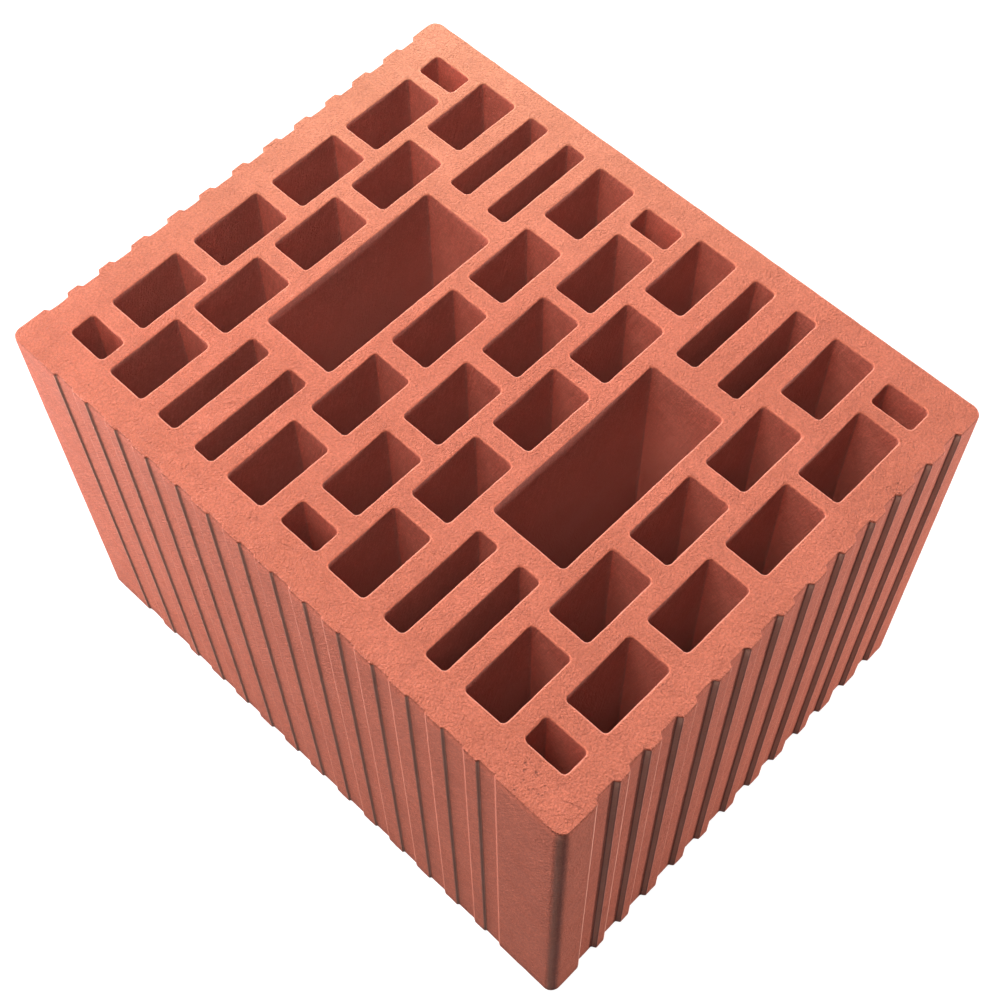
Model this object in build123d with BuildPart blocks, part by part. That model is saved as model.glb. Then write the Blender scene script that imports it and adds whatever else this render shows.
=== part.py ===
"""Hollow clay brick: one fired piece, pressed through a die and cut to height by wires.

Millimetres, +Z up. The brick stands on a cut face, as it is laid, with its holes upright.
The origin is the middle of the bottom face, +X runs along the length and -Y is the front.
"""

import os

from build123d import *

# Height between the two cut faces, and the round of the four upright corners
brick_height = 206.0
corner_round = 5.0

# Soft arris along the outside of both cut faces
arris_bevel = 0.9

# Holes: width along X, length along Y, and the round in their corners
hole_width = 19.7
hole_length = 35.0
hole_round = 2.0

# The two large holes that a hand grips, and the clay between them and the slots
grip_width = 36.5
grip_length = 90.1
grip_front_web = 9.4
grip_back_web = 10.5

# Slots in line with a grip hole, set in a little from its sides
slot_width = 10.4
slot_inset = 2.4

# Clay between the outside and the nearest hole, at the ends and along the front and back
left_wall = 16.2
right_wall = 15.5
front_wall = 16.4
back_wall = 12.1
outer_row_front_wall = 17.5
outer_row_back_wall = 14.7

# The nine rows of holes from left to right, and the webs of clay between the rows
OUTER, INNER, GRIP = "outer", "inner", "grip"
rows = [OUTER, INNER, GRIP, INNER, OUTER, INNER, GRIP, INNER, OUTER]
row_webs = [5.7, 6.7, 6.0, 9.1, 7.0, 7.5, 6.9, 8.5]

# The webs between the holes of one row, from front to back
inner_webs = [8.1, 8.4, 8.2, 9.5]
outer_webs = [9.0, 8.5, 7.9, 6.4, 6.4]

# Key grooves in the two ends: their mouths and the ridges between, from front to back
end_groove_depth = 2.0
end_first_ridge = 17.6
end_last_ridge = 14.5
end_grooves = [11.4, 10.6, 11.0, 11.8, 10.5, 11.8, 10.8, 10.0, 11.0, 9.6, 10.4, 9.9]
end_ridges = [5.4, 5.9, 7.5, 6.8, 6.3, 6.8, 7.7, 7.2, 6.3, 8.3, 8.5]

# Key grooves in the front, from left to right. They are shallow, and the back has none
front_groove_depth = 0.85
front_first_ridge = 27.6
front_last_ridge = 32.4
front_grooves = [11.1, 11.4, 9.8, 8.8, 8.9, 8.7, 8.6, 9.6, 9.6, 8.7, 8.6, 9.5, 10.6, 8.8]
front_ridges = [8.0, 6.3, 8.5, 8.6, 8.7, 9.1, 9.0, 8.1, 8.2, 9.1, 8.9, 8.2, 6.6]

# Slope of every groove's two flanks, in degrees from the face that it is cut in
flank_angle = 57.0


def centres(start, pieces, gaps):
    """Centres of pieces laid one after another from a start, with the gaps between them."""
    found = []
    for piece, gap in zip(pieces, [*gaps, 0]):
        found.append(start + piece / 2)
        start += piece + gap
    return found


def spans_between(start, end, web_centres, webs):
    """Stretches, each as its two ends, that the webs leave between a start and an end."""
    starts = [start] + [centre + web / 2 for centre, web in zip(web_centres, webs)]
    ends = [centre - web / 2 for centre, web in zip(web_centres, webs)] + [end]
    return list(zip(starts, ends))


def groove_centres(face_length, first_ridge, grooves, ridges, last_ridge):
    """Centres of a face's grooves, where the ridges between share what the rest leaves."""
    left_over = face_length - first_ridge - sum(grooves) - last_ridge
    ridge_scale = left_over / sum(ridges)
    return centres(first_ridge, grooves, [ridge * ridge_scale for ridge in ridges])


def cut_hole(x, y_span, width):
    """Take one hole out of the section, centred on x and as long as its span."""
    with Locations((x, sum(y_span) / 2)):
        RectangleRounded(width, y_span[1] - y_span[0], hole_round, mode=Mode.SUBTRACT)


def cut_groove(x, y, turn, mouth, depth):
    """Take one groove out of the section, from its mouth at x, y on a face."""
    with Locations((x, y)):
        Trapezoid(
            mouth,
            depth,
            flank_angle,
            rotation=turn,
            align=(Align.CENTER, Align.MIN),
            mode=Mode.SUBTRACT,
        )


# The outside follows from the holes and the clay round them
row_widths = [grip_width if row == GRIP else hole_width for row in rows]
inner_lengths = [hole_length] * (len(inner_webs) + 1)
brick_length = left_wall + sum(row_widths) + sum(row_webs) + right_wall
brick_width = front_wall + sum(inner_lengths) + sum(inner_webs) + back_wall
left, right = -brick_length / 2, brick_length / 2
front, back = -brick_width / 2, brick_width / 2

# Inner rows: five equal holes
inner_centres = centres(front + front_wall, inner_lengths, inner_webs)
inner_spans = [(y - hole_length / 2, y + hole_length / 2) for y in inner_centres]

# Outer rows are staggered: each web faces the middle of a hole in the inner rows
outer_spans = spans_between(
    front + outer_row_front_wall,
    back - outer_row_back_wall,
    inner_centres,
    outer_webs,
)

# Grip rows: the grip hole lies beside the inner rows' middle hole, with slots at both ends
grip_centre = inner_centres[len(inner_centres) // 2]
grip_span = (grip_centre - grip_length / 2, grip_centre + grip_length / 2)
slot_spans = [
    (front + front_wall, grip_span[0] - grip_front_web),
    (grip_span[1] + grip_back_web, back - back_wall),
]
slot_offset = grip_width / 2 - slot_inset - slot_width / 2

# Grooves along the ends and along the front, measured from the front left corner
end_centres = groove_centres(
    brick_width, end_first_ridge, end_grooves, end_ridges, end_last_ridge
)
front_centres = groove_centres(
    brick_length, front_first_ridge, front_grooves, front_ridges, front_last_ridge
)

with BuildPart() as clay_brick:
    with BuildSketch(Plane.XY) as section:
        RectangleRounded(brick_length, brick_width, corner_round)
        for along, mouth in zip(end_centres, end_grooves):
            cut_groove(left, front + along, -90, mouth, end_groove_depth)
            cut_groove(right, front + along, 90, mouth, end_groove_depth)
        for along, mouth in zip(front_centres, front_grooves):
            cut_groove(left + along, front, 0, mouth, front_groove_depth)
        for x, row in zip(centres(left + left_wall, row_widths, row_webs), rows):
            if row == GRIP:
                cut_hole(x, grip_span, grip_width)
                for slot_span in slot_spans:
                    cut_hole(x - slot_offset, slot_span, slot_width)
                    cut_hole(x + slot_offset, slot_span, slot_width)
            else:
                for hole_span in outer_spans if row == OUTER else inner_spans:
                    cut_hole(x, hole_span, hole_width)
    extrude(amount=brick_height)
    cut_faces = faces().filter_by(Axis.Z)
    arrises = [edge for face in cut_faces for edge in face.outer_wire().edges()]
    chamfer(arrises, length=arris_bevel)

clay_brick.part.label = "clay_brick"
os.makedirs("parts", exist_ok=True)
export_step(clay_brick.part, "parts/clay_brick.step")
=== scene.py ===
"""Looks of a hollow clay brick, in metres, in the frame of its solid model.

The clay is pressed through a die, cut by wires and fired in one piece. Its outlines are read
from the solid, swept into walls with soft rims, closed with two cut faces, and given relief.
"""

import math
import random

import bmesh
import bpy
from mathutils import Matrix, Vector
from mathutils.geometry import delaunay_2d_cdt
from mathutils.kdtree import KDTree


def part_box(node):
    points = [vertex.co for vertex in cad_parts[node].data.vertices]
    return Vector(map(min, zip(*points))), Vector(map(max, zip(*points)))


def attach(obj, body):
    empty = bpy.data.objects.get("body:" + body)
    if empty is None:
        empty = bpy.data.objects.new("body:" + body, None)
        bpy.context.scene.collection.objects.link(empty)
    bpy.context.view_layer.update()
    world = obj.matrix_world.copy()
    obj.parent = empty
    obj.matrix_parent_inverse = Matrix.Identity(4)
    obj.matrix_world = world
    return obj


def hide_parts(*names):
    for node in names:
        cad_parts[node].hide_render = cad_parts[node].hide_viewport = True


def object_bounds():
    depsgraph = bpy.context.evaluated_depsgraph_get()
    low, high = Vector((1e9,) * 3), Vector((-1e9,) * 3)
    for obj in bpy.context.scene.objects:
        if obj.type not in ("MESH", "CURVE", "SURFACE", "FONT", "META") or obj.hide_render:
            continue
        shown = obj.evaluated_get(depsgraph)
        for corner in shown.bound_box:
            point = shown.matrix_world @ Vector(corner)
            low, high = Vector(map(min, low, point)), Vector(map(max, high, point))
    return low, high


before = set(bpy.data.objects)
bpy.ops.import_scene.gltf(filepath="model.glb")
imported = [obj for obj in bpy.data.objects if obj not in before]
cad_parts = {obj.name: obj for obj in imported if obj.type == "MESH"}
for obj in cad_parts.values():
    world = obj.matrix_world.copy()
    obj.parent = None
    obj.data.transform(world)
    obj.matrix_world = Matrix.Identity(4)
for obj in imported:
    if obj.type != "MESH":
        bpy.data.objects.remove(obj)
cad_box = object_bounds()

MM = 0.001

# Which part of the brick a face belongs to
CUT_FACE, OUTSIDE, HOLE = 0, 1, 2

# Kinds of socket
FLOAT = "NodeSocketFloat"
COUNT = "NodeSocketInt"
VECTOR = "NodeSocketVector"
GEOMETRY = "NodeSocketGeometry"
MATERIAL = "NodeSocketMaterial"

# Numbers of the sockets that share a name: colours of a mix, whole numbers of a comparison
FIRST_COLOUR, SECOND_COLOUR, MIXED_COLOUR = 6, 7, 2
FIRST_COUNT, SECOND_COUNT = 2, 3


# Nodes: small helpers for materials and for geometry trees


def feed(tree, socket, source):
    """Link a socket to another node's output, or give it a plain value."""
    if isinstance(source, bpy.types.NodeSocket):
        tree.links.new(source, socket)
    else:
        socket.default_value = source


def add_node(tree, kind, sources=None, **settings):
    """Add a node, give it its own settings and feed its sockets."""
    node = tree.nodes.new(kind)
    for name, value in settings.items():
        setattr(node, name, value)
    for name, source in (sources or {}).items():
        feed(tree, node.inputs[name], source)
    return node


def maths(tree, operation, first, second=0.0, third=0.0, clamp=False):
    """One step of arithmetic."""
    node = add_node(tree, "ShaderNodeMath", operation=operation, use_clamp=clamp)
    for socket, source in zip(node.inputs, (first, second, third)):
        feed(tree, socket, source)
    return node.outputs[0]


def vector_maths(tree, operation, *sources):
    """One step of arithmetic on places or directions. Gives the node's outputs."""
    node = add_node(tree, "ShaderNodeVectorMath", operation=operation)
    for socket, source in zip(node.inputs, sources):
        feed(tree, socket, source)
    return node.outputs


def scaled(tree, direction, factor):
    """A direction made longer or shorter."""
    sources = {"Vector": direction, "Scale": factor}
    return add_node(tree, "ShaderNodeVectorMath", sources, operation="SCALE").outputs[0]


def split(tree, place):
    """The three parts of a place or a direction."""
    return add_node(tree, "ShaderNodeSeparateXYZ", {"Vector": place}).outputs


def joined(tree, x=0.0, y=0.0, z=0.0):
    """A place or a direction from its three parts."""
    return add_node(tree, "ShaderNodeCombineXYZ", {"X": x, "Y": y, "Z": z}).outputs[0]


def span(tree, value, low, high, to_low=0.0, to_high=1.0, smooth=False):
    """Stretch one range of a value over another, and hold it at the ends."""
    node = add_node(tree, "ShaderNodeMapRange", clamp=True)
    if smooth:
        node.interpolation_type = "SMOOTHSTEP"
    for socket, source in zip(node.inputs, (value, low, high, to_low, to_high)):
        feed(tree, socket, source)
    return node.outputs[0]


def mix_colours(tree, amount, first, second, blend="MIX"):
    """Lay one colour over another."""
    sources = {"Factor": amount, FIRST_COLOUR: first, SECOND_COLOUR: second}
    node = add_node(tree, "ShaderNodeMix", sources, data_type="RGBA", blend_type=blend)
    return node.outputs[MIXED_COLOUR]


def shaded(tree, mask, share, colour, other):
    """A colour with a share of another one laid over it where the mask says so."""
    return mix_colours(tree, maths(tree, "MULTIPLY", mask, share), colour, other)


def noise(tree, place, size, detail=2.0, roughness=0.5, distortion=0.0):
    """Soft noise with waves about as long as its size. Gives the node's outputs."""
    sources = {
        "Vector": place,
        "Scale": maths(tree, "DIVIDE", 1.0, size),
        "Detail": detail,
        "Roughness": roughness,
        "Distortion": distortion,
    }
    return add_node(tree, "ShaderNodeTexNoise", sources).outputs


def new_group(name, kind, inputs, outputs):
    """An empty node group with named sockets. Gives the group, what enters it and what leaves."""
    group = bpy.data.node_groups.new(name, kind)
    for label, socket_type in inputs.items():
        group.interface.new_socket(name=label, in_out="INPUT", socket_type=socket_type)
    for label, socket_type in outputs.items():
        group.interface.new_socket(name=label, in_out="OUTPUT", socket_type=socket_type)
    entry = group.nodes.new("NodeGroupInput")
    leave = group.nodes.new("NodeGroupOutput")
    return group, entry.outputs, leave.inputs


# Outlines of the section, read from the solid

# Verts closer than this are one, and a face is a wall if its normal rises less than this
SAME_PLACE = 0.002 * MM
LEVEL_NORMAL = 0.02

# Corners that turn by more than this get a slope. A crisp strip is added at each of its ends if
# the run beside it has room for this many strips
SHARP_TURN = math.radians(20)
CRISP_ROOM = 2.4


def read_outlines(node):
    """Closed outlines of the walls, seen from above, each with the clay on its left."""
    solid = bmesh.new()
    solid.from_mesh(node.data)
    bmesh.ops.remove_doubles(solid, verts=solid.verts, dist=SAME_PLACE)
    solid.normal_update()
    lowest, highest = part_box(node.name)
    middle = (lowest.z + highest.z) / 2
    onward = {}
    for edge in solid.edges:
        walls = [face for face in edge.link_faces if abs(face.normal.z) < LEVEL_NORMAL]
        if len(walls) != 1 or min(vert.co.z for vert in edge.verts) < middle:
            continue
        first, second = edge.verts
        along = second.co - first.co
        clay_side = -walls[0].normal
        if along.x * clay_side.y - along.y * clay_side.x < 0:
            first, second = second, first
        onward[first] = second
    outlines = []
    while onward:
        start, current = onward.popitem()
        outline = [start.co.xy.copy()]
        while current is not start:
            outline.append(current.co.xy.copy())
            current = onward.pop(current)
        outlines.append(outline)
    solid.free()
    return sorted(outlines, key=lambda outline: -abs(area(outline)))


def area(outline):
    """Area inside an outline, positive when it runs anticlockwise."""
    total = 0.0
    for here, there in zip(outline, outline[1:] + outline[:1]):
        total += here.x * there.y - here.y * there.x
    return total / 2


def soften_corners(outline, ridge_rounds, inner_round, crisp):
    """Give each sharp corner a small slope. The outline comes back with its worn points.

    The side of a groove that is nearer the front right corner is worn rounder.
    """
    count = len(outline)
    from_front_right = Vector((-1.0, 1.0))
    reaches = []
    turns = []
    for index, corner in enumerate(outline):
        before = outline[index - 1] - corner
        after = outline[(index + 1) % count] - corner
        turn = (-before).angle_signed(after)
        radius = inner_round
        if turn < 0:
            flank = min(before, after, key=lambda run: run.length)
            rounder = flank.dot(from_front_right) > flank.length
            radius = ridge_rounds[0] if rounder else ridge_rounds[1]
        reaches.append(radius * math.tan(abs(turn) / 2) if abs(turn) > SHARP_TURN else 0.0)
        turns.append(turn)

    softened = []
    worn = []
    for index, corner in enumerate(outline):
        reach = reaches[index]
        if reach == 0.0:
            softened.append(corner)
            continue
        for step in (-1, 1):
            there = (index + step) % count
            run = outline[there] - corner
            free = run.length - reach - reaches[there]
            slope_end = corner + run.normalized() * reach
            found = [slope_end]
            if free > CRISP_ROOM * crisp:
                found.append(slope_end + run.normalized() * crisp)
            softened += reversed(found) if step < 0 else found
            if turns[index] < 0:
                worn.append(slope_end)
    return softened, worn


def thin_short_runs(outline, shortest):
    """Drop points that crowd together in an arc."""
    kept = [outline[0]]
    for point in outline[1:]:
        if (point - kept[-1]).length >= shortest:
            kept.append(point)
    return kept


def divide_long_runs(outline, longest):
    """Add points along the straight stretches."""
    divided = []
    for here, there in zip(outline, outline[1:] + outline[:1]):
        pieces = max(1, math.ceil((there - here).length / longest))
        for step in range(pieces):
            divided.append(here.lerp(there, step / pieces))
    return divided


def outline_object(name, outlines, height):
    """A mesh of closed outlines, lying at the given height."""
    mesh = bpy.data.meshes.new(name)
    places = []
    edges = []
    for outline in outlines:
        first = len(places)
        count = len(outline)
        for index, point in enumerate(outline):
            places.append((point.x, point.y, height))
            edges.append((first + index, first + (index + 1) % count))
    mesh.from_pydata(places, edges, [])
    return add_object(name, mesh)


def add_object(name, data):
    """A new object in the scene."""
    thing = bpy.data.objects.new(name, data)
    bpy.context.scene.collection.objects.link(thing)
    return thing


# Geometry trees

# Rings of a wall's profile between its rim and the wall itself, which form the lip
LIP_RINGS = 2.0

# Ring numbers are whole, so two that differ by less than this are the same
SAME_RING = 0.5

# Noise of the wear: nothing below the first value, and full above the second
WEAR_SPAN = (0.42, 0.72)


def real_and_painted(tree, geometry, clay):
    """Plain geometry with its clay on it."""
    real = add_node(tree, "GeometryNodeRealizeInstances", {"Geometry": geometry})
    sources = {"Geometry": real.outputs[0], "Material": clay}
    return add_node(tree, "GeometryNodeSetMaterial", sources).outputs[0]


def noted(tree, name, kind="FLOAT"):
    """A value that the mesh carries."""
    return add_node(tree, "GeometryNodeInputNamedAttribute", {"Name": name}, data_type=kind).outputs[0]


def wall_tree():
    """Sweep a wall with a soft rim at both ends, and a lip below it, along closed outlines."""
    inputs = {
        "Geometry": GEOMETRY,
        "Wall Height": FLOAT,
        "Rim Width": FLOAT,
        "Rim Drop": FLOAT,
        "Rim Steps": COUNT,
        "Rim Edge": FLOAT,
        "Lip Height": FLOAT,
        "Lip Depth": FLOAT,
        "Wall Steps": COUNT,
        "Crowding": FLOAT,
        "Clay": MATERIAL,
    }
    tree, entry, leave = new_group("pressed_wall", "GeometryNodeTree", inputs, {"Geometry": GEOMETRY})
    height = entry["Wall Height"]
    rim_drop = entry["Rim Drop"]
    lip_height = entry["Lip Height"]
    below_rim = maths(tree, "ADD", entry["Rim Steps"], 1.0)
    below_lip = maths(tree, "ADD", below_rim, LIP_RINGS)
    half_steps = maths(tree, "ADD", below_lip, entry["Wall Steps"])
    last = maths(tree, "MULTIPLY", half_steps, 2.0)

    # One upright line of points becomes the profile. Rings count from the nearer end
    line = add_node(tree, "GeometryNodeMeshLine", {"Count": maths(tree, "ADD", last, 1.0)})
    index = add_node(tree, "GeometryNodeInputIndex").outputs[0]
    ring = maths(tree, "MINIMUM", index, maths(tree, "SUBTRACT", last, index))

    # Ring 0 lies on the cut face, and the next ones turn over the rim
    on_top = maths(tree, "LESS_THAN", ring, SAME_RING)
    past_top = maths(tree, "SUBTRACT", ring, 1.0)
    round_share = maths(tree, "DIVIDE", past_top, entry["Rim Steps"], clamp=True)
    angle = maths(tree, "MULTIPLY", round_share, math.pi / 2)
    inset = maths(tree, "SUBTRACT", 1.0, maths(tree, "SINE", angle))
    inset = maths(tree, "MULTIPLY", inset, entry["Rim Width"])
    inset = maths(tree, "MULTIPLY_ADD", on_top, entry["Rim Edge"], inset)
    rise = maths(tree, "SUBTRACT", 1.0, maths(tree, "COSINE", angle))
    rise = maths(tree, "MULTIPLY", rise, rim_drop)

    # Two rings form the hollow below the lip
    lip_share = maths(tree, "SUBTRACT", ring, below_rim)
    lip_share = maths(tree, "DIVIDE", lip_share, LIP_RINGS, clamp=True)
    lip_ring = maths(tree, "MULTIPLY", lip_share, LIP_RINGS)
    rise = maths(tree, "MULTIPLY_ADD", lip_ring, lip_height, rise)
    in_hollow = maths(tree, "COMPARE", ring, maths(tree, "ADD", below_rim, 1.0), SAME_RING)
    inset = maths(tree, "MULTIPLY_ADD", in_hollow, entry["Lip Depth"], inset)

    # The rest share the wall, closer together near the rim
    wall_share = maths(tree, "SUBTRACT", ring, below_lip)
    wall_share = maths(tree, "DIVIDE", wall_share, entry["Wall Steps"], clamp=True)
    wall_share = maths(tree, "POWER", wall_share, entry["Crowding"])
    half_wall = maths(tree, "SUBTRACT", maths(tree, "DIVIDE", height, 2.0), rim_drop)
    half_wall = maths(tree, "SUBTRACT", half_wall, maths(tree, "MULTIPLY", lip_height, LIP_RINGS))
    rise = maths(tree, "MULTIPLY_ADD", half_wall, wall_share, rise)
    upper = maths(tree, "GREATER_THAN", index, half_steps)
    turned_over = maths(tree, "SUBTRACT", height, maths(tree, "MULTIPLY", rise, 2.0))
    rise = maths(tree, "MULTIPLY_ADD", upper, turned_over, rise)
    across = maths(tree, "MULTIPLY", inset, -1.0)
    place = joined(tree, across, maths(tree, "MULTIPLY", rise, -1.0))
    sources = {"Geometry": line.outputs[0], "Position": place}
    shaped = add_node(tree, "GeometryNodeSetPosition", sources)
    profile = add_node(tree, "GeometryNodeMeshToCurve", {"Mesh": shaped.outputs[0]})

    # The outlines carry the profile, upright at every point
    path = add_node(tree, "GeometryNodeMeshToCurve", {"Mesh": entry["Geometry"]})
    upright = add_node(tree, "GeometryNodeSetCurveNormal", {"Curve": path.outputs[0]}, mode="Z_UP")
    sources = {"Curve": upright.outputs[0], "Profile Curve": profile.outputs[0]}
    sweep = add_node(tree, "GeometryNodeCurveToMesh", sources)
    feed(tree, leave["Geometry"], real_and_painted(tree, sweep.outputs[0], entry["Clay"]))
    return tree


def relief_tree():
    """Push the surface in unevenly, wear the rims, and give each part of the brick its clay."""
    inputs = {
        "Geometry": GEOMETRY,
        "Relief Depth": FLOAT,
        "Relief Size": FLOAT,
        "Wear Depth": FLOAT,
        "Wear Size": FLOAT,
        "Cut Clay": MATERIAL,
        "Pressed Clay": MATERIAL,
        "Hole Clay": MATERIAL,
    }
    tree, entry, leave = new_group("fired_relief", "GeometryNodeTree", inputs, {"Geometry": GEOMETRY})
    place = add_node(tree, "GeometryNodeInputPosition").outputs[0]
    relief = noise(tree, place, entry["Relief Size"], detail=2.0, roughness=0.5)["Fac"]
    relief = maths(tree, "MULTIPLY", relief, entry["Relief Depth"])
    wear = noise(tree, place, entry["Wear Size"], detail=3.0, roughness=0.6)["Fac"]
    wear = span(tree, wear, *WEAR_SPAN)
    on_edge = maths(tree, "MAXIMUM", noted(tree, "rim"), noted(tree, "arris"))
    wear = maths(tree, "MULTIPLY", wear, on_edge)
    inward = maths(tree, "MULTIPLY_ADD", wear, entry["Wear Depth"], relief)
    normal = add_node(tree, "GeometryNodeInputNormal").outputs["Normal"]
    offset = scaled(tree, normal, maths(tree, "MULTIPLY", inward, -1.0))
    sources = {"Geometry": entry["Geometry"], "Offset": offset}
    moved = add_node(tree, "GeometryNodeSetPosition", sources)
    finished = real_and_painted(tree, moved.outputs[0], entry["Cut Clay"])
    surface = noted(tree, "surface", "INT")
    for part, label in ((OUTSIDE, "Pressed Clay"), (HOLE, "Hole Clay")):
        sources = {FIRST_COUNT: surface, SECOND_COUNT: part}
        chosen = add_node(tree, "FunctionNodeCompare", sources, data_type="INT", operation="EQUAL")
        sources = {"Geometry": finished, "Selection": chosen.outputs[0], "Material": entry[label]}
        finished = add_node(tree, "GeometryNodeSetMaterial", sources).outputs[0]
    feed(tree, leave["Geometry"], finished)
    return tree


def run_tree(thing, tree, values):
    """Run a geometry tree on an object and keep the result as a plain mesh."""
    modifier = thing.modifiers.new(tree.name, "NODES")
    modifier.node_group = tree
    for item in tree.interface.items_tree:
        if item.in_out == "INPUT" and item.name in values:
            modifier[item.identifier] = values[item.name]
    bpy.context.view_layer.update()
    seen = thing.evaluated_get(bpy.context.evaluated_depsgraph_get())
    mesh = bpy.data.meshes.new_from_object(seen)
    thing.modifiers.remove(modifier)
    return mesh


# The brick

# Corners of the key grooves: the rounder and the sharper edge of a ridge, and a groove's foot
RIDGE_ROUNDS = (1.3 * MM, 0.55 * MM)
GROOVE_ROUND = 0.4 * MM
CRISP = 0.28 * MM

# Spacing of the points along the outlines
CLOSEST_POINTS = 0.6 * MM
LONGEST_RUN = 4.0 * MM

# Rims, as both kinds of wall have them
RIM_DROP = 0.75 * MM
RIMS = {
    "Rim Drop": RIM_DROP,
    "Rim Steps": 3,
    "Rim Edge": 0.18 * MM,
    "Lip Height": 0.5 * MM,
}

# The two kinds of wall: the first one has a hollow lip below its rim
OUTSIDE_WALL = {"Rim Width": 0.65 * MM, "Lip Depth": 0.32 * MM, "Wall Steps": 11, "Crowding": 1.2}
HOLE_WALL = {"Rim Width": 1.0 * MM, "Lip Depth": 0.0, "Wall Steps": 5, "Crowding": 1.8}

# Nets of triangles on the cut faces: their spacing and their seeds
UPPER_NET = (1.8 * MM, 3)
LOWER_NET = (3.4 * MM, 4)

# Shares of the spacing by which a net's points are shifted at most, and keep off the rims, whose
# runs are measured at steps
NET_SHIFT = 0.2
NET_GAP = 0.62
RIM_STEP = 0.5 * MM

# Kind of triangle net that leaves the holes open
OPEN_HOLES = 2

# Relief of the fired skin, and wear along the edges
RELIEF = {
    "Relief Depth": 0.18 * MM,
    "Relief Size": 9.0 * MM,
    "Wear Depth": 0.2 * MM,
    "Wear Size": 3.0 * MM,
}

# Verts this close to a cut face or a ridge's edge belong to it, and closer ones are welded
AT_HEIGHT = 0.01 * MM
AT_RIDGE = 0.05 * MM
WELD = 0.001 * MM

# Verts between these shares of the rim's drop are worn. Those this close to the brick's box are
# on its outer arris, and the others on the rims of holes
ON_RIM = (0.01, 1.01)
OUTSIDE_DEPTH = 6.0 * MM


def points_by_place(points):
    """A search tree of points that lie level."""
    tree = KDTree(len(points))
    for index, point in enumerate(points):
        tree.insert((point.x, point.y, 0.0), index)
    tree.balance()
    return tree


def distance_to(tree, point):
    """How far a point is, seen from above, from the nearest one in a search tree."""
    _, _, distance = tree.find((point.x, point.y, 0.0))
    return distance


def net_points(rims, spacing, seed):
    """Slightly uneven points all over a cut face, clear of the rims."""
    along_rims = []
    for first, second in rims:
        pieces = max(1, math.ceil((second - first).length / RIM_STEP))
        for step in range(pieces):
            along_rims.append(first.lerp(second, step / pieces))
    tree = points_by_place(along_rims)
    low_x = min(point.x for point in along_rims)
    high_x = max(point.x for point in along_rims)
    low_y = min(point.y for point in along_rims)
    high_y = max(point.y for point in along_rims)
    dice = random.Random(seed)
    row_height = spacing * math.sqrt(3) / 2
    points = []
    for row in range(math.ceil((high_y - low_y) / row_height)):
        y = low_y + row * row_height
        shift = spacing / 2 if row % 2 else 0.0
        for column in range(math.ceil((high_x - low_x) / spacing)):
            x = low_x + shift + column * spacing
            to_right = dice.uniform(-NET_SHIFT, NET_SHIFT) * spacing
            to_back = dice.uniform(-NET_SHIFT, NET_SHIFT) * spacing
            point = Vector((x + to_right, y + to_back))
            if distance_to(tree, point) > NET_GAP * spacing:
                points.append(point)
    return points


def rim_loops(body, height):
    """The open rims at one end, each as its verts in order."""
    neighbours = {}
    for edge in body.edges:
        if edge.is_boundary and abs(edge.verts[0].co.z - height) < AT_HEIGHT:
            first, second = edge.verts
            neighbours.setdefault(first, []).append(second)
            neighbours.setdefault(second, []).append(first)
    loops = []
    left = set(neighbours)
    for start in neighbours:
        if start not in left:
            continue
        loop = [start]
        left.remove(start)
        current = start
        while True:
            onward = [vert for vert in neighbours[current] if vert in left]
            if not onward:
                break
            current = onward[0]
            left.remove(current)
            loop.append(current)
        loops.append(loop)
    return loops


def close_cut_face(body, height, spacing, seed):
    """Close one cut face between its rims with an even net of small triangles."""
    loops = rim_loops(body, height)
    verts = [vert for loop in loops for vert in loop]
    places = [vert.co.xy.copy() for vert in verts]
    rims = []
    edges = []
    for loop in loops:
        rims.append(list(range(len(edges), len(edges) + len(loop))))
        for index in range(len(loop)):
            edges.append((loop[index].co.xy, loop[(index + 1) % len(loop)].co.xy))
    places += net_points(edges, spacing, seed)
    new_places, _, new_faces, sources, _, _ = delaunay_2d_cdt(places, [], rims, OPEN_HOLES, WELD)
    corner = {}
    for index, source in enumerate(sources):
        if source and source[0] < len(verts):
            corner[index] = verts[source[0]]
    for face in new_faces:
        for index in face:
            if index not in corner:
                corner[index] = body.verts.new((*new_places[index], height))
        body.faces.new([corner[index] for index in face])


def mark_rims_and_ridges(body, lowest, highest, worn):
    """Note on each vert whether it lies on a hole's rim, the outer arris or the edge of a ridge."""
    rim_layer = body.verts.layers.float.new("rim")
    arris_layer = body.verts.layers.float.new("arris")
    ridge_layer = body.verts.layers.float.new("ridge")
    tree = points_by_place(worn)
    for vert in body.verts:
        from_end = min(vert.co.z - lowest.z, highest.z - vert.co.z)
        from_front_left = min(vert.co.x - lowest.x, vert.co.y - lowest.y)
        from_back_right = min(highest.x - vert.co.x, highest.y - vert.co.y)
        outside = min(from_front_left, from_back_right) < OUTSIDE_DEPTH
        on_rim = ON_RIM[0] * RIM_DROP < from_end < ON_RIM[1] * RIM_DROP
        on_ridge = distance_to(tree, vert.co) < AT_RIDGE and from_end > RIM_DROP
        vert[rim_layer] = 1.0 if on_rim and not outside else 0.0
        vert[arris_layer] = 1.0 if on_rim and outside else 0.0
        vert[ridge_layer] = 1.0 if on_ridge else 0.0


def add_walls(body, outlines, tree, sizes, kind, lowest, highest):
    """Sweep the walls of one kind, and note on each face whether it lies on a rim or a wall."""
    lines = outline_object("outline", outlines, lowest.z)
    walls = run_tree(lines, tree, {"Wall Height": highest.z - lowest.z, **RIMS, **sizes})
    bpy.data.objects.remove(lines)
    first_face = len(body.faces)
    body.from_mesh(walls)
    body.faces.ensure_lookup_table()
    surface = body.faces.layers.int["surface"]
    for face in body.faces[first_face:]:
        middle = face.calc_center_median().z
        on_rim = min(middle - lowest.z, highest.z - middle) < RIM_DROP
        face[surface] = CUT_FACE if on_rim else kind


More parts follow.
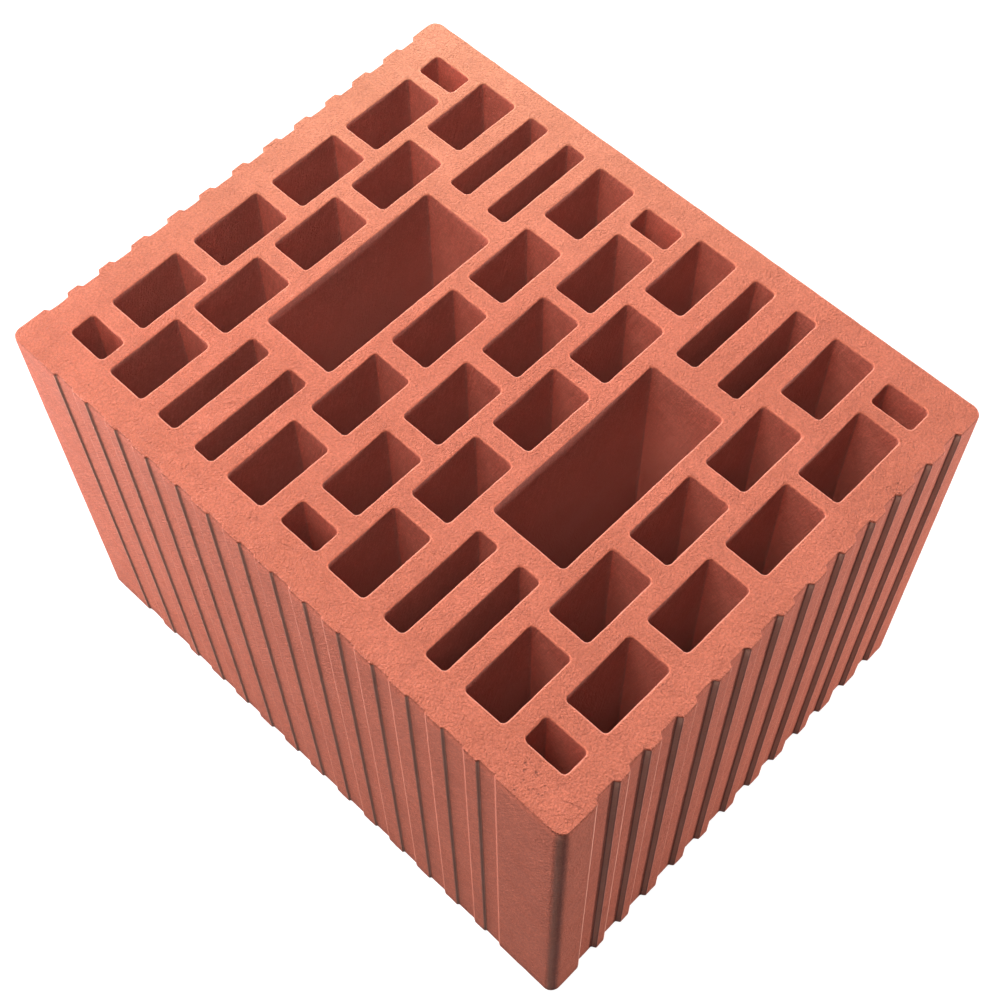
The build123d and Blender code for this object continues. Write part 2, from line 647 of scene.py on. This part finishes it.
def build_brick(node, materials):
    """The whole brick as one closed mesh: walls swept along the outlines, and two cut faces."""
    lowest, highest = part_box(node.name)
    outlines = read_outlines(node)
    outside, worn = soften_corners(outlines[0], RIDGE_ROUNDS, GROOVE_ROUND, CRISP)
    outside = divide_long_runs(outside, LONGEST_RUN)
    holes = []
    for hole in outlines[1:]:
        holes.append(divide_long_runs(thin_short_runs(hole, CLOSEST_POINTS), LONGEST_RUN))
    tree = wall_tree()
    body = bmesh.new()
    body.faces.layers.int.new("surface")
    outside_wall = {**OUTSIDE_WALL, "Clay": materials["pressed"]}
    add_walls(body, [outside], tree, outside_wall, OUTSIDE, lowest, highest)
    hole_wall = {**HOLE_WALL, "Clay": materials["hole"]}
    add_walls(body, holes, tree, hole_wall, HOLE, lowest, highest)
    close_cut_face(body, highest.z, *UPPER_NET)
    close_cut_face(body, lowest.z, *LOWER_NET)
    bmesh.ops.remove_doubles(body, verts=body.verts, dist=WELD)
    bmesh.ops.recalc_face_normals(body, faces=body.faces)
    mark_rims_and_ridges(body, lowest, highest, worn)
    for face in body.faces:
        face.smooth = True
    mesh = bpy.data.meshes.new("fired_brick")
    body.to_mesh(mesh)
    body.free()
    brick = add_object("fired_brick", mesh)
    clays = {
        "Cut Clay": materials["cut"],
        "Pressed Clay": materials["pressed"],
        "Hole Clay": materials["hole"],
    }
    brick.data = run_tree(brick, relief_tree(), {**RELIEF, **clays})
    return brick


# Clay: effects that its surfaces share

# Ranges of the noises: nothing below the first value, and full above the second
ROUGH_SPAN = (0.4, 0.62)
CLOUD_SPAN = (0.35, 0.65)
FLECK_SPAN = (0.45, 0.72)
SPECK_SPAN = (0.4, 0.6)

# A crumbled patch is whole up to this share of its radius
WHOLE_SHARE = 0.6

# What makes pits ragged, in sizes of a pit: the waves' size, and how far they shift a place
RAGGED_SIZE = 1.25
RAGGED_SHIFT = 1.2

# The smallest pit's radius, in sizes of a pit, and how far in from its edge a pit slopes down
LEAST_PIT = 0.5
PIT_SLOPE = 0.9

# Clusters of pits: the noise that starts them with no share asked for, what a full share takes
# off it, the range over which they thicken, and how likely a pit must be to be kept
CLUSTER_START = 0.8
CLUSTER_FALL = 0.5
CLUSTER_FADE = 0.08
PIT_CHANCE = 0.35

# Share of a score's half sweep over which its ends fade
SCORE_FADE = 0.4


def grain_group():
    """Sandy skin of fired clay: a height, and a mask of its rough patches."""
    inputs = {
        "Place": VECTOR,
        "Lump Size": FLOAT,
        "Lump Share": FLOAT,
        "Grain Size": FLOAT,
        "Grain Share": FLOAT,
        "Patch Size": FLOAT,
        "Least Grain": FLOAT,
    }
    outputs = {"Height": FLOAT, "Rough Patch": FLOAT}
    group, entry, leave = new_group("sandy_grain", "ShaderNodeTree", inputs, outputs)
    place = entry["Place"]
    lumps = noise(group, place, entry["Lump Size"], detail=5.0, roughness=0.63)["Fac"]
    grains = noise(group, place, entry["Grain Size"], detail=2.0, roughness=0.6)["Fac"]
    patches = noise(group, place, entry["Patch Size"], detail=3.0, roughness=0.55, distortion=0.3)["Fac"]
    rough = span(group, patches, *ROUGH_SPAN, entry["Least Grain"], 1.0, smooth=True)
    height = maths(group, "MULTIPLY", lumps, entry["Lump Share"])
    height = maths(group, "MULTIPLY_ADD", grains, entry["Grain Share"], height)
    feed(group, leave["Height"], maths(group, "MULTIPLY", height, rough))
    feed(group, leave["Rough Patch"], rough)
    return group


def mottle_group():
    """Cloudy shift of colour from uneven clay and fire, with small flecks and specks."""
    inputs = {"Place": VECTOR, "Cloud Size": FLOAT, "Fleck Size": FLOAT, "Speck Size": FLOAT}
    outputs = {"Cloud": FLOAT, "Fleck": FLOAT, "Speck": FLOAT}
    group, entry, leave = new_group("kiln_mottle", "ShaderNodeTree", inputs, outputs)
    place = entry["Place"]
    clouds = noise(group, place, entry["Cloud Size"], detail=4.0, roughness=0.6, distortion=0.5)["Fac"]
    flecks = noise(group, place, entry["Fleck Size"], detail=3.0, roughness=0.6, distortion=0.6)["Fac"]
    specks = noise(group, place, entry["Speck Size"], detail=3.0, roughness=0.75)["Fac"]
    feed(group, leave["Cloud"], span(group, clouds, *CLOUD_SPAN))
    feed(group, leave["Fleck"], span(group, flecks, *FLECK_SPAN))
    feed(group, leave["Speck"], span(group, specks, *SPECK_SPAN))
    return group


def streak_group():
    """Fine drag marks that lean across an upright face."""
    inputs = {"Place": VECTOR, "Lean": FLOAT, "Streak Width": FLOAT, "Streak Length": FLOAT}
    group, entry, leave = new_group("drag_streaks", "ShaderNodeTree", inputs, {"Streak": FLOAT})
    parts = split(group, entry["Place"])
    along = maths(group, "ADD", parts["X"], parts["Y"])
    across = maths(group, "SUBTRACT", parts["X"], parts["Y"])
    flat = joined(group, along, parts["Z"], across)
    turn = joined(group, z=entry["Lean"])
    leaning = add_node(group, "ShaderNodeMapping", {"Vector": flat, "Rotation": turn})
    by_width = maths(group, "DIVIDE", 1.0, entry["Streak Width"])
    by_length = maths(group, "DIVIDE", 1.0, entry["Streak Length"])
    sizes = joined(group, by_width, by_length, by_length)
    stretched = vector_maths(group, "MULTIPLY", leaning.outputs[0], sizes)["Vector"]
    streaks = noise(group, stretched, 1.0, detail=3.0, roughness=0.6, distortion=0.1)
    feed(group, leave["Streak"], streaks["Fac"])
    return group


def crumbled_group():
    """How far a place lies inside one crumbled patch of a cut face."""
    inputs = {"Place": VECTOR, "Centre": VECTOR, "Radius": FLOAT}
    group, entry, leave = new_group("crumbled_patch", "ShaderNodeTree", inputs, {"Patch": FLOAT})
    apart = vector_maths(group, "DISTANCE", entry["Place"], entry["Centre"])["Value"]
    inner = maths(group, "MULTIPLY", entry["Radius"], WHOLE_SHARE)
    feed(group, leave["Patch"], span(group, apart, inner, entry["Radius"], 1.0, 0.0))
    return group


def pit_group():
    """Small hollows where sand grains tore out: many in crumbled patches, few elsewhere."""
    inputs = {
        "Place": VECTOR,
        "Crumbled": FLOAT,
        "Pit Spacing": FLOAT,
        "Pit Size": FLOAT,
        "Cluster Size": FLOAT,
        "Share Elsewhere": FLOAT,
    }
    group, entry, leave = new_group("torn_pits", "ShaderNodeTree", inputs, {"Pit": FLOAT})
    place = entry["Place"]
    size = entry["Pit Size"]
    ragged = noise(group, place, maths(group, "MULTIPLY", size, RAGGED_SIZE))["Color"]
    shift = scaled(group, ragged, maths(group, "MULTIPLY", size, RAGGED_SHIFT))
    sources = {
        "Vector": vector_maths(group, "ADD", place, shift)["Vector"],
        "Scale": maths(group, "DIVIDE", 1.0, entry["Pit Spacing"]),
    }
    cells = add_node(group, "ShaderNodeTexVoronoi", sources, feature="F1").outputs
    away = maths(group, "MULTIPLY", cells["Distance"], entry["Pit Spacing"])
    chance = add_node(group, "ShaderNodeSeparateColor", {"Color": cells["Color"]}).outputs
    radius = maths(group, "MULTIPLY", size, maths(group, "ADD", chance["Green"], LEAST_PIT))
    hollow = maths(group, "SUBTRACT", 1.0, maths(group, "DIVIDE", away, radius, clamp=True))
    hollow = span(group, hollow, 0.0, PIT_SLOPE, smooth=True)
    clusters = noise(group, place, entry["Cluster Size"])["Fac"]
    sooner = maths(group, "MULTIPLY", entry["Share Elsewhere"], CLUSTER_FALL)
    start = maths(group, "SUBTRACT", CLUSTER_START, sooner)
    thick = span(group, clusters, start, maths(group, "ADD", start, CLUSTER_FADE))
    thick = maths(group, "MAXIMUM", thick, entry["Crumbled"])
    sure = maths(group, "MULTIPLY", chance["Red"], thick)
    kept = maths(group, "GREATER_THAN", sure, PIT_CHANCE)
    feed(group, leave["Pit"], maths(group, "MULTIPLY", hollow, kept))
    return group


def score_group():
    """One curved score in the cut face: a thin arc about a centre."""
    inputs = {
        "Place": VECTOR,
        "Centre": VECTOR,
        "Radius": FLOAT,
        "Width": FLOAT,
        "Facing": FLOAT,
        "Half Sweep": FLOAT,
    }
    group, entry, leave = new_group("curved_score", "ShaderNodeTree", inputs, {"Score": FLOAT})
    parts = split(group, vector_maths(group, "SUBTRACT", entry["Place"], entry["Centre"])["Vector"])
    square = maths(group, "MULTIPLY", parts["X"], parts["X"])
    away = maths(group, "SQRT", maths(group, "MULTIPLY_ADD", parts["Y"], parts["Y"], square))
    off = maths(group, "ABSOLUTE", maths(group, "SUBTRACT", away, entry["Radius"]))
    off_share = maths(group, "DIVIDE", off, entry["Width"], clamp=True)
    line = maths(group, "SUBTRACT", 1.0, off_share)
    angle = maths(group, "ARCTAN2", parts["Y"], parts["X"])
    turn = maths(group, "ABSOLUTE", maths(group, "SUBTRACT", angle, entry["Facing"]))
    spare = maths(group, "SUBTRACT", entry["Half Sweep"], turn)
    fade = maths(group, "MULTIPLY", entry["Half Sweep"], SCORE_FADE)
    ends = span(group, spare, 0.0, fade)
    feed(group, leave["Score"], maths(group, "MULTIPLY", line, ends))
    return group


def place_group(tree, group, values):
    """Put a shared effect in a material with its own values. Gives its outputs."""
    return add_node(tree, "ShaderNodeGroup", values, node_tree=group).outputs


def shaken(tree, place, size, reach):
    """The place, shifted a little this way and that, so that a line drawn by it isn't even."""
    shake = noise(tree, place, size)["Color"]
    return vector_maths(tree, "MULTIPLY_ADD", shake, (reach, reach, 0.0), place)["Vector"]


def facing(tree):
    """The three parts of the direction that the surface faces."""
    return split(tree, add_node(tree, "ShaderNodeTexCoord").outputs["Normal"])


def mark_on(tree, name):
    """A mark that the mesh carries, as a mask."""
    return add_node(tree, "ShaderNodeAttribute", attribute_name=name).outputs["Fac"]


# Clay tones, light to dark, of the cut faces, the sides and the walls inside the holes. Those of the
# holes are lighter than the sides' clay, as painted light
CUT_TONES = ((0.78, 0.202, 0.112, 1.0), (0.70, 0.175, 0.092, 1.0), (0.44, 0.097, 0.052, 1.0))
SIDE_TONES = ((0.73, 0.193, 0.113, 1.0), (0.65, 0.162, 0.093, 1.0), (0.41, 0.093, 0.053, 1.0))
HOLE_TONES = ((0.95, 0.278, 0.189, 1.0), (0.88, 0.243, 0.164, 1.0), (0.60, 0.148, 0.097, 1.0))

# Paler clay deep inside the holes as painted light, clay worn lighter and given a painted highlight on
# ridges and rims, a tint of painted sheen for the back left of the cut face, and a tint of painted shade
# for the walls along the width
DEEP_HOLE_LIGHT = (0.92, 0.295, 0.207, 1.0)
WORN_AND_HIGHLIGHT_CLAY = (0.92, 0.450, 0.340, 1.0)
BACK_LEFT_SHEEN = (1.0, 1.4, 1.4, 1.0)
LONG_WALL_SHADE = (0.68, 0.87, 0.97, 1.0)

# Painted shade on the groove flanks turned to the front right corner: greyish on the end, dark on the
# front
END_FLANK_SHADE = (0.52, 0.265, 0.198, 1.0)
FRONT_FLANK_SHADE = (0.24, 0.080, 0.064, 1.0)


# Cut faces

CUT_GRAIN = {
    "Lump Size": 4.5 * MM,
    "Lump Share": 0.6,
    "Grain Size": 0.8 * MM,
    "Grain Share": 0.7,
    "Patch Size": 18.0 * MM,
    "Least Grain": 0.85,
}
CUT_MOTTLE = {"Cloud Size": 40.0 * MM, "Fleck Size": 6.0 * MM, "Speck Size": 1.0 * MM}
CUT_PITS = {
    "Pit Spacing": 1.2 * MM,
    "Pit Size": 0.45 * MM,
    "Cluster Size": 15.0 * MM,
    "Share Elsewhere": 0.25,
}

# Depth of the relief where its height is 1, and the share of it that the rims of holes keep
CUT_DEPTH = 2.5 * MM
RIM_RELIEF = 0.35

# Depths of the marks as shares of the relief, and how far marks change the clay: painted shade in pits
# and scores, flecks and specks, a painted highlight on the rims of holes and painted shade on the arris
PIT_DEPTH, PIT_SHADE = -0.5, 0.3
SCORE_DEPTH, SCORE_SHADE = -0.25, 0.4
CUT_FLECK, CUT_SPECK = 0.3, 0.5
RIM_HIGHLIGHT, ARRIS_SHADE = 0.4, 0.9

# The clay turns paler as painted sheen as a place lies further back than it lies right, by this much.
# Rims of holes get a painted highlight as they face that way, and the arris gets painted shade as it
# faces the other way
PALER_FROM, PALER_TO = 30.0 * MM, 240.0 * MM
RIM_HIGHLIGHT_SPAN = (0.1, 0.7)
ARRIS_SHADE_SPAN = (-0.1, -0.7)

# Roughness of the clay: the least and the most grain, and the roughness at each
CUT_ROUGHNESS = (0.3, 1.0, 0.55, 0.72)
SIDE_ROUGHNESS = (0.4, 1.0, 0.6, 0.75)

# Crumbled patches of the upper cut face: centre and radius
CRUMBLED = [
    ((0.1245, -0.1065, 0.206), 5.0 * MM),
    ((0.1310, -0.1110, 0.206), 4.0 * MM),
    ((-0.0190, -0.1075, 0.206), 4.5 * MM),
]

# Marks on the upper cut face: centre, radius, width, facing, half sweep and depth share
SCORES = [
    ((0.1518, -0.1286, 0.0), 23.2 * MM, 0.35 * MM, 1.90, 0.21, 1.0),
    ((0.0117, -0.1407, 0.0), 36.0 * MM, 0.3 * MM, 1.89, 0.11, 0.8),
    ((-0.0638, 0.0697, 0.0), 3.8 * MM, 0.3 * MM, 1.2, 2.6, 0.35),
    ((-0.0637, -0.0763, 0.0), 3.8 * MM, 0.3 * MM, -1.0, 1.4, 0.35),
    ((0.1098, -0.0566, 0.0), 3.2 * MM, 0.3 * MM, 0.3, 1.3, 0.4),
    ((-0.0980, -0.1130, 0.0), 5.0 * MM, 0.3 * MM, 1.2, 0.8, 0.4),
]

# The scores waver by this much, in waves of this size
WAVER_REACH = 0.3 * MM
WAVER_SIZE = MM / 0.9


def start_clay(name):
    """A new material with its place on the brick and its shader."""
    material = bpy.data.materials.new(name)
    material.use_nodes = True
    tree = material.node_tree
    place = add_node(tree, "ShaderNodeTexCoord").outputs["Object"]
    return material, tree, place, tree.nodes["Principled BSDF"]


def clay_colour(tree, mottle, tones, fleck_share, speck_share):
    """Clay from its bright to its deep tone, by the mottle."""
    bright, plain, deep = tones
    colour = mix_colours(tree, mottle["Cloud"], plain, bright)
    colour = shaded(tree, mottle["Fleck"], fleck_share, colour, deep)
    return shaded(tree, mottle["Speck"], speck_share, colour, deep)


def finish_clay(tree, shader, colour, roughness, height, depth, strength=1.0):
    """Feed the shader, with the height as relief of the given depth."""
    sources = {"Height": height, "Distance": depth, "Strength": strength}
    bump = add_node(tree, "ShaderNodeBump", sources)
    feed(tree, shader.inputs["Base Color"], colour)
    feed(tree, shader.inputs["Roughness"], roughness)
    feed(tree, shader.inputs["Normal"], bump.outputs[0])


def add_scores(tree, group, place, height, colour):
    """Press the curved scores into the height, and paint shade into the colour in them."""
    wavering = shaken(tree, place, WAVER_SIZE, WAVER_REACH)
    for centre, radius, width, facing_angle, half_sweep, share in SCORES:
        values = {
            "Place": wavering,
            "Centre": centre,
            "Radius": radius,
            "Width": width,
            "Facing": facing_angle,
            "Half Sweep": half_sweep,
        }
        score = place_group(tree, group, values)["Score"]
        height = maths(tree, "MULTIPLY_ADD", score, SCORE_DEPTH * share, height)
        colour = shaded(tree, score, SCORE_SHADE * share, colour, CUT_TONES[-1])
    return height, colour


def wire_cut_clay(groups):
    """The cut faces: sandy, paler towards the back left as painted sheen, with torn pits and a few
    curved scores darkened by painted shade.
    """
    material, tree, place, shader = start_clay("wire_cut_clay")
    deep = CUT_TONES[-1]
    grain = place_group(tree, groups["grain"], {"Place": place, **CUT_GRAIN})
    mottle = place_group(tree, groups["mottle"], {"Place": place, **CUT_MOTTLE})
    crumbled = 0.0
    for centre, radius in CRUMBLED:
        values = {"Place": place, "Centre": centre, "Radius": radius}
        patch = place_group(tree, groups["crumbled"], values)["Patch"]
        crumbled = maths(tree, "MAXIMUM", patch, crumbled)
    values = {"Place": place, "Crumbled": crumbled, **CUT_PITS}
    pit = place_group(tree, groups["pit"], values)["Pit"]
    height = maths(tree, "MULTIPLY_ADD", pit, PIT_DEPTH, grain["Height"])

    # Painted sheen makes the clay paler towards the back left, and painted shade darkens it in pits and
    # scores
    parts = split(tree, place)
    to_back_left = maths(tree, "SUBTRACT", parts["Y"], parts["X"])
    paler = span(tree, to_back_left, PALER_FROM, PALER_TO)
    colour = clay_colour(tree, mottle, CUT_TONES, CUT_FLECK, CUT_SPECK)
    colour = mix_colours(tree, paler, colour, BACK_LEFT_SHEEN, "MULTIPLY")
    colour = shaded(tree, pit, PIT_SHADE, colour, deep)
    height, colour = add_scores(tree, groups["score"], place, height, colour)

    # Rims of holes get a painted highlight where they face back left, and the arris gets painted shade
    # in front right
    rim = mark_on(tree, "rim")
    arris = mark_on(tree, "arris")
    normal = facing(tree)
    side = maths(tree, "SUBTRACT", normal["Y"], normal["X"])
    painted_rim_highlight = maths(tree, "MULTIPLY", span(tree, side, *RIM_HIGHLIGHT_SPAN), rim)
    colour = shaded(tree, painted_rim_highlight, RIM_HIGHLIGHT, colour, WORN_AND_HIGHLIGHT_CLAY)
    painted_arris_shade = maths(tree, "MULTIPLY", span(tree, side, *ARRIS_SHADE_SPAN), arris)
    colour = shaded(tree, painted_arris_shade, ARRIS_SHADE, colour, deep)
    roughness = span(tree, grain["Rough Patch"], *CUT_ROUGHNESS)
    strength = span(tree, rim, 0.0, 1.0, 1.0, RIM_RELIEF)
    finish_clay(tree, shader, colour, roughness, height, CUT_DEPTH, strength)
    return material


# Sides and hole walls

UPRIGHT_GRAIN = {
    "Lump Size": 5.0 * MM,
    "Lump Share": 0.12,
    "Grain Size": 0.9 * MM,
    "Grain Share": 0.5,
    "Patch Size": 22.0 * MM,
    "Least Grain": 0.6,
}
UPRIGHT_MOTTLE = {"Cloud Size": 30.0 * MM, "Fleck Size": 5.0 * MM, "Speck Size": 1.0 * MM}
SIDE_STREAKS = {"Lean": 0.7, "Streak Width": 0.6 * MM, "Streak Length": 9.0 * MM}
HOLE_STREAKS = {"Lean": 0.3, "Streak Width": 0.7 * MM, "Streak Length": 12.0 * MM}

# How far flecks, specks and streaks darken the clay, and the height of a streak
UPRIGHT_FLECK, UPRIGHT_SPECK = 0.4, 0.75
SIDE_STREAK, HOLE_STREAK = 0.45, 0.5
STREAK_SPAN = (0.38, 0.66)
STREAK_HEIGHT = 0.3
SIDE_DEPTH, HOLE_DEPTH = 1.0 * MM, 1.8 * MM

# Lighter wear and a painted highlight on the ridges: they grow from right to left on the front, and are
# even elsewhere
WEAR_AND_HIGHLIGHT_FROM, WEAR_AND_HIGHLIGHT_TO = 100.0 * MM, -110.0 * MM
WEAR_AND_HIGHLIGHT_RIGHT, WEAR_AND_HIGHLIGHT_LEFT, WEAR_AND_HIGHLIGHT_ELSEWHERE = 0.12, 0.8, 0.7
FRONT_SPAN = (0.1, 0.5)

# Painted shade: how far a flank faces both right and front, the share that the rounded corner itself
# gets, and the turn that tells flanks of the end from flanks of the front
FLANK_SPAN = (0.2, 0.5)
CORNER_FROM, CORNER_TO = 254.0 * MM, 258.0 * MM
CORNER_SHARE = 0.4
END_SPAN = (-0.25, 0.25)

# Depths between which a hole's clay turns to the paler clay of painted light deep inside, and how far a
# wall faces front or back before it has lost the painted shade of the walls along the width
INSIDE_FROM, INSIDE_TO = 8.0 * MM, 70.0 * MM
CROSSWAYS_SPAN = (0.6, 0.8)


def upright_clay(name, groups, tones, streaks, streak_share, depth):
    """Clay that slid along the die: drag marks over a fine grain. Gives its colour too."""
    material, tree, place, shader = start_clay(name)
    grain = place_group(tree, groups["grain"], {"Place": place, **UPRIGHT_GRAIN})
    mottle = place_group(tree, groups["mottle"], {"Place": place, **UPRIGHT_MOTTLE})
    streak = place_group(tree, groups["streak"], {"Place": place, **streaks})["Streak"]
    colour = clay_colour(tree, mottle, tones, UPRIGHT_FLECK, UPRIGHT_SPECK)
    shade = span(tree, streak, *STREAK_SPAN)
    colour = shaded(tree, shade, streak_share, colour, tones[-1])
    height = maths(tree, "MULTIPLY_ADD", streak, STREAK_HEIGHT, grain["Height"])
    roughness = span(tree, grain["Rough Patch"], *SIDE_ROUGHNESS)
    finish_clay(tree, shader, colour, roughness, height, depth)
    return material, tree, place, shader, colour


def die_pressed_clay(groups):
    """The sides, with ridge edges worn lighter and given a painted highlight towards the left, and
    painted shade on some flanks.
    """
    material, tree, place, shader, colour = upright_clay(
        "die_pressed_clay", groups, SIDE_TONES, SIDE_STREAKS, SIDE_STREAK, SIDE_DEPTH
    )
    parts = split(tree, place)
    normal = facing(tree)
    towards_front = maths(tree, "MULTIPLY", normal["Y"], -1.0)
    # Ridge edges get lighter wear and a painted highlight, growing towards the left on the front
    on_front = span(tree, parts["X"], WEAR_AND_HIGHLIGHT_FROM, WEAR_AND_HIGHLIGHT_TO, WEAR_AND_HIGHLIGHT_RIGHT, WEAR_AND_HIGHLIGHT_LEFT)
    wear = span(tree, towards_front, *FRONT_SPAN, WEAR_AND_HIGHLIGHT_ELSEWHERE, on_front)
    colour = mix_colours(tree, maths(tree, "MULTIPLY", mark_on(tree, "ridge"), wear), colour, WORN_AND_HIGHLIGHT_CLAY)

    # Flanks that face both right and front get painted shade. Those of the front face more to the right
    turned_both = maths(tree, "MINIMUM", normal["X"], towards_front)
    to_corner = maths(tree, "SUBTRACT", parts["X"], parts["Y"])
    share = span(tree, to_corner, CORNER_FROM, CORNER_TO, 1.0, CORNER_SHARE)
    amount = maths(tree, "MULTIPLY", span(tree, turned_both, *FLANK_SPAN), share)
    to_right = span(tree, maths(tree, "SUBTRACT", normal["X"], towards_front), *END_SPAN)
    flank_shade = mix_colours(tree, to_right, END_FLANK_SHADE, FRONT_FLANK_SHADE)
    feed(tree, shader.inputs["Base Color"], mix_colours(tree, amount, colour, flank_shade))
    return material


def hole_wall_clay(groups, low, high):
    """The walls inside the holes: painted light makes them paler with depth, and painted shade darkens
    the walls along the width.
    """
    material, tree, place, shader, colour = upright_clay(
        "hole_wall_clay", groups, HOLE_TONES, HOLE_STREAKS, HOLE_STREAK, HOLE_DEPTH
    )
    height = split(tree, place)["Z"]
    over = maths(tree, "SUBTRACT", height, low)
    depth = maths(tree, "MINIMUM", over, maths(tree, "SUBTRACT", high, height))
    # Painted light: the clay turns paler with depth
    inside = span(tree, depth, INSIDE_FROM, INSIDE_TO)
    # Painted shade darkens the walls along the width
    crossways = maths(tree, "ABSOLUTE", facing(tree)["Y"])
    on_long_wall = span(tree, crossways, *CROSSWAYS_SPAN, 1.0, 0.0)
    colour = mix_colours(tree, inside, colour, DEEP_HOLE_LIGHT)
    colour = mix_colours(tree, on_long_wall, colour, LONG_WALL_SHADE, "MULTIPLY")
    feed(tree, shader.inputs["Base Color"], colour)
    return material


groups = {
    "grain": grain_group(),
    "mottle": mottle_group(),
    "streak": streak_group(),
    "crumbled": crumbled_group(),
    "pit": pit_group(),
    "score": score_group(),
}
materials = {
    "cut": wire_cut_clay(groups),
    "pressed": die_pressed_clay(groups),
    "hole": hole_wall_clay(groups, cad_box[0][2], cad_box[1][2]),
}

brick = build_brick(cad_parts["clay_brick"], materials)
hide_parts("clay_brick")
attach(brick, "root")


# Floor, light and camera

# Soft boxes: name, place, side and watts. The low ones light the sides that the camera sees, one
# stands behind to the left, and the high ones light the cut face and reach down into the holes
SOFT_BOXES = [
    ("right_low", (0.634, 0.634, 0.238), 0.16, 7.2),
    ("left_low", (-0.687, -0.576, 0.238), 0.16, 4.6),
    ("left_near", (-0.440, -0.234, 0.204), 0.09, 1.7),
    ("left_middle", (-0.488, -0.329, 0.435), 0.32, 0.6),
    ("back_left", (-0.348, 0.348, 0.504), 0.30, 3.3),
    ("high_left", (-0.220, -0.220, 1.319), 0.60, 7.4),
    ("front_steep", (0.060, -0.225, 1.029), 0.45, 1.0),
    ("front_high", (0.274, -0.474, 1.664), 0.80, 5.7),
    ("front_middle", (0.0, -0.636, 0.796), 0.45, 0.7),
]
LIT_PLACE = (0.0, 0.0, 0.16)
WORLD_LIGHT = 0.06

# The floor: half its side, its tone and its glow
FLOOR_HALF = 3.0
FLOOR_TONE = (0.25, 0.25, 0.25, 1.0)
FLOOR_GLOW = 0.9
WHITE = (1.0, 1.0, 1.0, 1.0)

# The camera: its place, its turn in degrees, and its lens
CAMERA_PLACE = (0.2709, -0.2681, 0.7665)
CAMERA_TURN = (29.80, 0.02, 43.91)
CAMERA_LENS = {"lens": 62.36, "sensor_width": 36.0, "shift_x": -0.0135, "shift_y": 0.0063}


def floor_material():
    """Pale floor that keeps the brick's shadow and shows white where the light is full."""
    material = bpy.data.materials.new("pale_floor")
    material.use_nodes = True
    tree = material.node_tree
    tree.nodes.clear()
    diffuse = add_node(tree, "ShaderNodeBsdfDiffuse", {"Color": FLOOR_TONE}).outputs[0]
    glow = add_node(tree, "ShaderNodeEmission", {"Strength": FLOOR_GLOW}).outputs[0]
    none = add_node(tree, "ShaderNodeEmission", {"Strength": 0.0}).outputs[0]
    seen = add_node(tree, "ShaderNodeLightPath").outputs["Is Camera Ray"]
    lift = add_node(tree, "ShaderNodeMixShader", {0: seen, 1: none, 2: glow}).outputs[0]
    both = add_node(tree, "ShaderNodeAddShader", {0: diffuse, 1: lift}).outputs[0]
    add_node(tree, "ShaderNodeOutputMaterial", {"Surface": both})
    return material


def build_floor(half):
    """A plain square floor."""
    mesh = bpy.data.meshes.new("floor")
    corners = [(-half, -half, 0.0), (half, -half, 0.0), (half, half, 0.0), (-half, half, 0.0)]
    mesh.from_pydata(corners, [], [range(len(corners))])
    mesh.materials.append(floor_material())
    return add_object("floor", mesh)


def soft_light(name, place, aim, size, watts):
    """A square soft box, turned to what it lights."""
    light = bpy.data.lights.new(name, "AREA")
    light.shape = "SQUARE"
    light.size = size
    light.energy = watts
    lamp = add_object(name, light)
    lamp.location = place
    lamp.rotation_euler = (Vector(aim) - Vector(place)).to_track_quat("-Z", "Y").to_euler()
    lamp.visible_camera = False


def set_world(strength):
    """Even pale light all round, and white where the camera sees past the floor."""
    world = bpy.data.worlds.new("studio")
    world.use_nodes = True
    tree = world.node_tree
    tree.nodes.clear()
    even = add_node(tree, "ShaderNodeBackground", {"Strength": strength}).outputs[0]
    white = add_node(tree, "ShaderNodeBackground", {"Color": WHITE}).outputs[0]
    path = add_node(tree, "ShaderNodeLightPath").outputs
    seen = maths(tree, "MAXIMUM", path["Is Camera Ray"], path["Is Transmission Ray"])
    mix = add_node(tree, "ShaderNodeMixShader", {0: seen, 1: even, 2: white}).outputs[0]
    add_node(tree, "ShaderNodeOutputWorld", {"Surface": mix})
    bpy.context.scene.world = world


def set_camera():
    """The photograph's viewing angle."""
    lens = bpy.data.cameras.new("camera")
    for name, value in CAMERA_LENS.items():
        setattr(lens, name, value)
    camera = add_object("camera", lens)
    camera.location = CAMERA_PLACE
    camera.rotation_euler = [math.radians(turn) for turn in CAMERA_TURN]
    bpy.context.scene.camera = camera


build_floor(FLOOR_HALF)
set_world(WORLD_LIGHT)
for name, place, size, watts in SOFT_BOXES:
    soft_light(name, place, LIT_PLACE, size, watts)
set_camera()
bpy.context.scene.view_settings.view_transform = "Standard"
